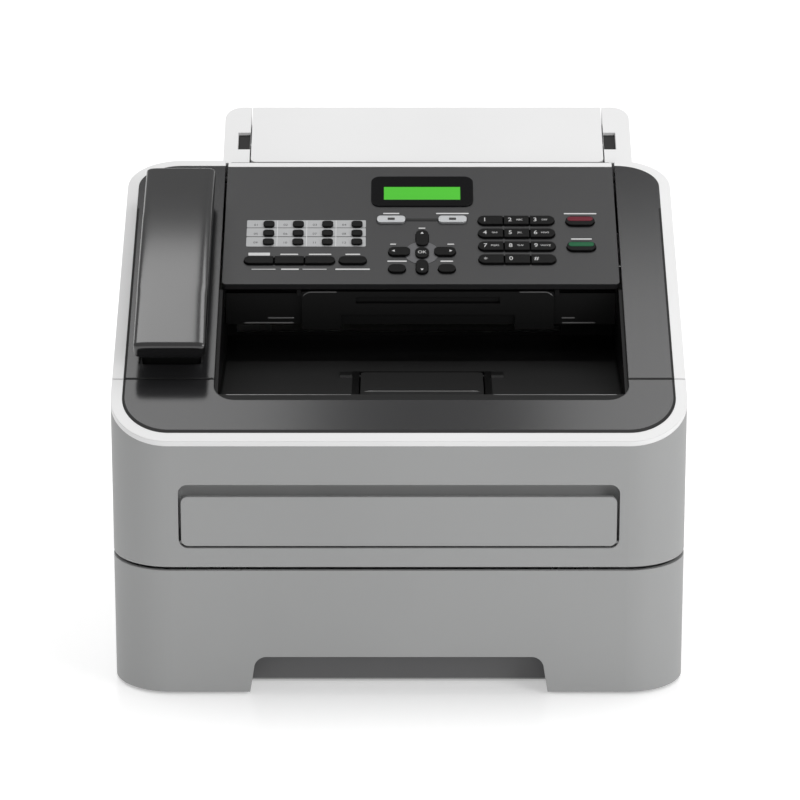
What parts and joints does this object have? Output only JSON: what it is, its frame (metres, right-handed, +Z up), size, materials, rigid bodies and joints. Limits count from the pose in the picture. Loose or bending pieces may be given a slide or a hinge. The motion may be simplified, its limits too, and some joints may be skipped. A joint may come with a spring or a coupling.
{
  "type": "fax machine",
  "caption": "Desktop laser fax with a sloped keypad panel, handset, paper tray, manual feed, output well and rear document chute; covers, keys, tray and rollers move.",
  "frame": {"origin": "middle of the footprint on the floor", "axes": "+X to the viewer's right from the front, +Y to the back, +Z up"},
  "size_m": [0.368, 0.36, 0.312],
  "materials": {
    "front_cover": "fine texture",
    "manual_feed_cover": "fine texture",
    "tray_front": "fine texture",
    "left_side_cover": "fine texture",
    "right_side_cover": "fine texture",
    "rear_panel": "fine texture",
    "rear_cover": "fine texture",
    "front_rim": "satin",
    "side_rim": "satin",
    "document_chute": "satin",
    "document_support": "satin",
    "deck_cover": "fine texture",
    "front_deck": "fine texture",
    "control_panel": "fine texture",
    "output_tray": "satin",
    "support_flap": "satin",
    "adf_lower_guide": "satin",
    "document_exit_flap": "satin",
    "handset": "satin",
    "hook_switch": "satin",
    "tray_bin": "satin",
    "paper_guide_left": "satin",
    "paper_guide_right": "satin",
    "rear_guide": "satin",
    "fuser_housing": "satin",
    "toner_cartridge": "satin",
    "laser_unit": "satin",
    "line_sockets": "satin",
    "scan_sensor": "satin",
    "lcd_bezel": "polished",
    "lcd_screen": "polished",
    "base_frame": "plain",
    "lift_plate": "plain",
    "main_motor": "plain",
    "motor_pinion": "plain",
    "frame_screws": "plain",
    "rubber_feet": "matt",
    "pickup_roller": "matt",
    "adf_feed_roller": "matt",
    "drum": "polished",
    "fuser_roller": "satin",
    "idler_gear": "plain",
    "circuit_boards": "plain",
    "speaker": "plain",
    "mode_keys": "satin",
    "one_touch_keys": "satin",
    "function_keys": "satin",
    "up_key": "satin",
    "down_key": "satin",
    "left_key": "satin",
    "right_key": "satin",
    "ok_key": "satin",
    "clear_key": "satin",
    "menu_key": "satin",
    "dial_keys_row_1": "satin",
    "dial_keys_row_2": "satin",
    "dial_keys_row_3": "satin",
    "dial_keys_row_4": "satin",
    "stop_key": "satin",
    "start_key": "satin"
  },
  "bodies": {
    "chassis": {"base_frame": "base_frame", "left_side_cover": "left_side_cover", "right_side_cover": "right_side_cover", "rear_panel": "rear_panel", "line_sockets": "line_sockets", "frame_screws": "frame_screws", "side_rim": "side_rim", "deck_cover": "deck_cover", "output_tray": "output_tray", "document_chute": "document_chute", "adf_lower_guide": "adf_lower_guide", "scan_sensor": "scan_sensor", "rubber_feet": "rubber_feet", "circuit_boards": "circuit_boards", "speaker": "speaker", "main_motor": "main_motor", "toner_cartridge": "toner_cartridge", "fuser_housing": "fuser_housing", "laser_unit": "laser_unit"},
    "panel": {"control_panel": "control_panel", "lcd_bezel": "lcd_bezel", "lcd_screen": "lcd_screen"},
    "front": {"front_cover": "front_cover", "front_rim": "front_rim", "front_deck": "front_deck"},
    "tray": {"tray_front": "tray_front", "tray_bin": "tray_bin"},
    "adf_feed_roller": {"adf_feed_roller": "adf_feed_roller"},
    "clear_key": {"clear_key": "clear_key"},
    "dial_keys_row_1": {"dial_keys_row_1": "dial_keys_row_1"},
    "dial_keys_row_2": {"dial_keys_row_2": "dial_keys_row_2"},
    "dial_keys_row_3": {"dial_keys_row_3": "dial_keys_row_3"},
    "dial_keys_row_4": {"dial_keys_row_4": "dial_keys_row_4"},
    "document_exit_flap": {"document_exit_flap": "document_exit_flap"},
    "document_support": {"document_support": "document_support"},
    "down_key": {"down_key": "down_key"},
    "drum": {"drum": "drum"},
    "function_keys": {"function_keys": "function_keys"},
    "fuser_roller": {"fuser_roller": "fuser_roller"},
    "handset": {"handset": "handset"},
    "hook_switch": {"hook_switch": "hook_switch"},
    "idler_gear": {"idler_gear": "idler_gear"},
    "left_key": {"left_key": "left_key"},
    "lift_plate": {"lift_plate": "lift_plate"},
    "manual_feed_cover": {"manual_feed_cover": "manual_feed_cover"},
    "menu_key": {"menu_key": "menu_key"},
    "mode_keys": {"mode_keys": "mode_keys"},
    "motor_pinion": {"motor_pinion": "motor_pinion"},
    "ok_key": {"ok_key": "ok_key"},
    "one_touch_keys": {"one_touch_keys": "one_touch_keys"},
    "paper_guide_left": {"paper_guide_left": "paper_guide_left"},
    "paper_guide_right": {"paper_guide_right": "paper_guide_right"},
    "pickup_roller": {"pickup_roller": "pickup_roller"},
    "rear_cover": {"rear_cover": "rear_cover"},
    "rear_guide": {"rear_guide": "rear_guide"},
    "right_key": {"right_key": "right_key"},
    "start_key": {"start_key": "start_key"},
    "stop_key": {"stop_key": "stop_key"},
    "support_flap": {"support_flap": "support_flap"},
    "up_key": {"up_key": "up_key"}
  },
  "joints": [
    {"name": "front_cover_hinge", "type": "hinge", "parent": "chassis", "child": "front", "pos_m": [0, -0.1755, 0.091], "axis": [1, 0, 0], "range_deg": [0, 80]},
    {"name": "manual_feed_hinge", "type": "hinge", "parent": "front", "child": "manual_feed_cover", "pos_m": [0, -0.1778, 0.1035], "axis": [1, 0, 0], "range_deg": [0, 75]},
    {"name": "tray_slide", "type": "slide", "parent": "chassis", "child": "tray", "axis": [0, -1, 0], "range_m": [0, 0.26]},
    {"name": "lift_plate_hinge", "type": "hinge", "parent": "tray", "child": "lift_plate", "pos_m": [0, -0.012, 0.012], "axis": [-1, 0, 0], "range_deg": [0, 9]},
    {"name": "guide_left_slide", "type": "slide", "parent": "tray", "child": "paper_guide_left", "axis": [1, 0, 0], "range_m": [0, 0.03]},
    {"name": "guide_right_slide", "type": "slide", "parent": "tray", "child": "paper_guide_right", "axis": [-1, 0, 0], "range_m": [0, 0.03]},
    {"name": "rear_guide_slide", "type": "slide", "parent": "tray", "child": "rear_guide", "axis": [0, -1, 0], "range_m": [0, 0.06]},
    {"name": "panel_hinge", "type": "hinge", "parent": "chassis", "child": "panel", "pos_m": [0, 0.0737, 0.2766], "axis": [-1, 0, 0], "range_deg": [0, 50]},
    {"name": "exit_flap_hinge", "type": "hinge", "parent": "chassis", "child": "document_exit_flap", "pos_m": [0, -0.03185, 0.227], "axis": [-1, 0, 0], "range_deg": [0, 80]},
    {"name": "support_flap_hinge", "type": "hinge", "parent": "chassis", "child": "support_flap", "pos_m": [0, -0.0675, 0.17925], "axis": [-1, 0, 0], "range_deg": [0, 50]},
    {"name": "document_support_tilt", "type": "hinge", "parent": "chassis", "child": "document_support", "pos_m": [0, 0.10701, 0.29226], "axis": [1, 0, 0], "range_deg": [0, 40]},
    {"name": "handset_lift", "type": "slide", "parent": "chassis", "child": "handset", "axis": [0, -0.4131, 0.9107], "range_m": [0, 0.12]},
    {"name": "hook_switch_dip", "type": "slide", "parent": "chassis", "child": "hook_switch", "axis": [0, 0.4131, -0.9107], "range_m": [0, 0.003], "stiffness_N_per_m": 300, "springref_m": -0.004},
    {"name": "rear_cover_hinge", "type": "hinge", "parent": "chassis", "child": "rear_cover", "pos_m": [0, 0.1714, 0.072], "axis": [-1, 0, 0], "range_deg": [0, 85]},
    {"name": "pickup_spin", "type": "hinge", "parent": "chassis", "child": "pickup_roller", "pos_m": [0, -0.105, 0.076], "axis": [1, 0, 0], "continuous": true},
    {"name": "drum_spin", "type": "hinge", "parent": "chassis", "child": "drum", "pos_m": [0, -0.04, 0.098], "axis": [1, 0, 0], "continuous": true},
    {"name": "idler_spin", "type": "hinge", "parent": "chassis", "child": "idler_gear", "pos_m": [0.131, 0.029, 0.098], "axis": [1, 0, 0], "continuous": true},
    {"name": "fuser_spin", "type": "hinge", "parent": "chassis", "child": "fuser_roller", "pos_m": [0, 0.092, 0.098], "axis": [1, 0, 0], "continuous": true},
    {"name": "pinion_spin", "type": "hinge", "parent": "chassis", "child": "motor_pinion", "pos_m": [0.131, -0.06993, 0.118], "axis": [1, 0, 0], "continuous": true},
    {"name": "adf_feed_spin", "type": "hinge", "parent": "chassis", "child": "adf_feed_roller", "pos_m": [0, 0.05208, 0.25285], "axis": [1, 0, 0], "continuous": true},
    {"name": "one_touch_keys_press", "type": "slide", "parent": "panel", "child": "one_touch_keys", "axis": [0, 0.4131, -0.9107], "range_m": [0, 0.001], "stiffness_N_per_m": 500, "springref_m": -0.0008},
    {"name": "function_keys_press", "type": "slide", "parent": "panel", "child": "function_keys", "axis": [0, 0.4131, -0.9107], "range_m": [0, 0.001], "stiffness_N_per_m": 500, "springref_m": -0.0008},
    {"name": "mode_keys_press", "type": "slide", "parent": "panel", "child": "mode_keys", "axis": [0, 0.4131, -0.9107], "range_m": [0, 0.001], "stiffness_N_per_m": 500, "springref_m": -0.0008},
    {"name": "up_key_press", "type": "slide", "parent": "panel", "child": "up_key", "axis": [0, 0.4131, -0.9107], "range_m": [0, 0.001], "stiffness_N_per_m": 500, "springref_m": -0.0008},
    {"name": "down_key_press", "type": "slide", "parent": "panel", "child": "down_key", "axis": [0, 0.4131, -0.9107], "range_m": [0, 0.001], "stiffness_N_per_m": 500, "springref_m": -0.0008},
    {"name": "left_key_press", "type": "slide", "parent": "panel", "child": "left_key", "axis": [0, 0.4131, -0.9107], "range_m": [0, 0.001], "stiffness_N_per_m": 500, "springref_m": -0.0008},
    {"name": "right_key_press", "type": "slide", "parent": "panel", "child": "right_key", "axis": [0, 0.4131, -0.9107], "range_m": [0, 0.001], "stiffness_N_per_m": 500, "springref_m": -0.0008},
    {"name": "ok_key_press", "type": "slide", "parent": "panel", "child": "ok_key", "axis": [0, 0.4131, -0.9107], "range_m": [0, 0.001], "stiffness_N_per_m": 500, "springref_m": -0.0008},
    {"name": "clear_key_press", "type": "slide", "parent": "panel", "child": "clear_key", "axis": [0, 0.4131, -0.9107], "range_m": [0, 0.001], "stiffness_N_per_m": 500, "springref_m": -0.0008},
    {"name": "menu_key_press", "type": "slide", "parent": "panel", "child": "menu_key", "axis": [0, 0.4131, -0.9107], "range_m": [0, 0.001], "stiffness_N_per_m": 500, "springref_m": -0.0008},
    {"name": "dial_keys_row_1_press", "type": "slide", "parent": "panel", "child": "dial_keys_row_1", "axis": [0, 0.4131, -0.9107], "range_m": [0, 0.001], "stiffness_N_per_m": 500, "springref_m": -0.0008},
    {"name": "dial_keys_row_2_press", "type": "slide", "parent": "panel", "child": "dial_keys_row_2", "axis": [0, 0.4131, -0.9107], "range_m": [0, 0.001], "stiffness_N_per_m": 500, "springref_m": -0.0008},
    {"name": "dial_keys_row_3_press", "type": "slide", "parent": "panel", "child": "dial_keys_row_3", "axis": [0, 0.4131, -0.9107], "range_m": [0, 0.001], "stiffness_N_per_m": 500, "springref_m": -0.0008},
    {"name": "dial_keys_row_4_press", "type": "slide", "parent": "panel", "child": "dial_keys_row_4", "axis": [0, 0.4131, -0.9107], "range_m": [0, 0.001], "stiffness_N_per_m": 500, "springref_m": -0.0008},
    {"name": "stop_key_press", "type": "slide", "parent": "panel", "child": "stop_key", "axis": [0, 0.4131, -0.9107], "range_m": [0, 0.001], "stiffness_N_per_m": 500, "springref_m": -0.0008},
    {"name": "start_key_press", "type": "slide", "parent": "panel", "child": "start_key", "axis": [0, 0.4131, -0.9107], "range_m": [0, 0.001], "stiffness_N_per_m": 500, "springref_m": -0.0008}
  ],
  "couplings": [
    {"joint": "idler_spin", "follows": "drum_spin", "ratio": -0.53333},
    {"joint": "fuser_spin", "follows": "drum_spin", "ratio": 1.3333},
    {"joint": "pinion_spin", "follows": "drum_spin", "ratio": -2},
    {"joint": "guide_right_slide", "follows": "guide_left_slide", "ratio": 1}
  ]
}
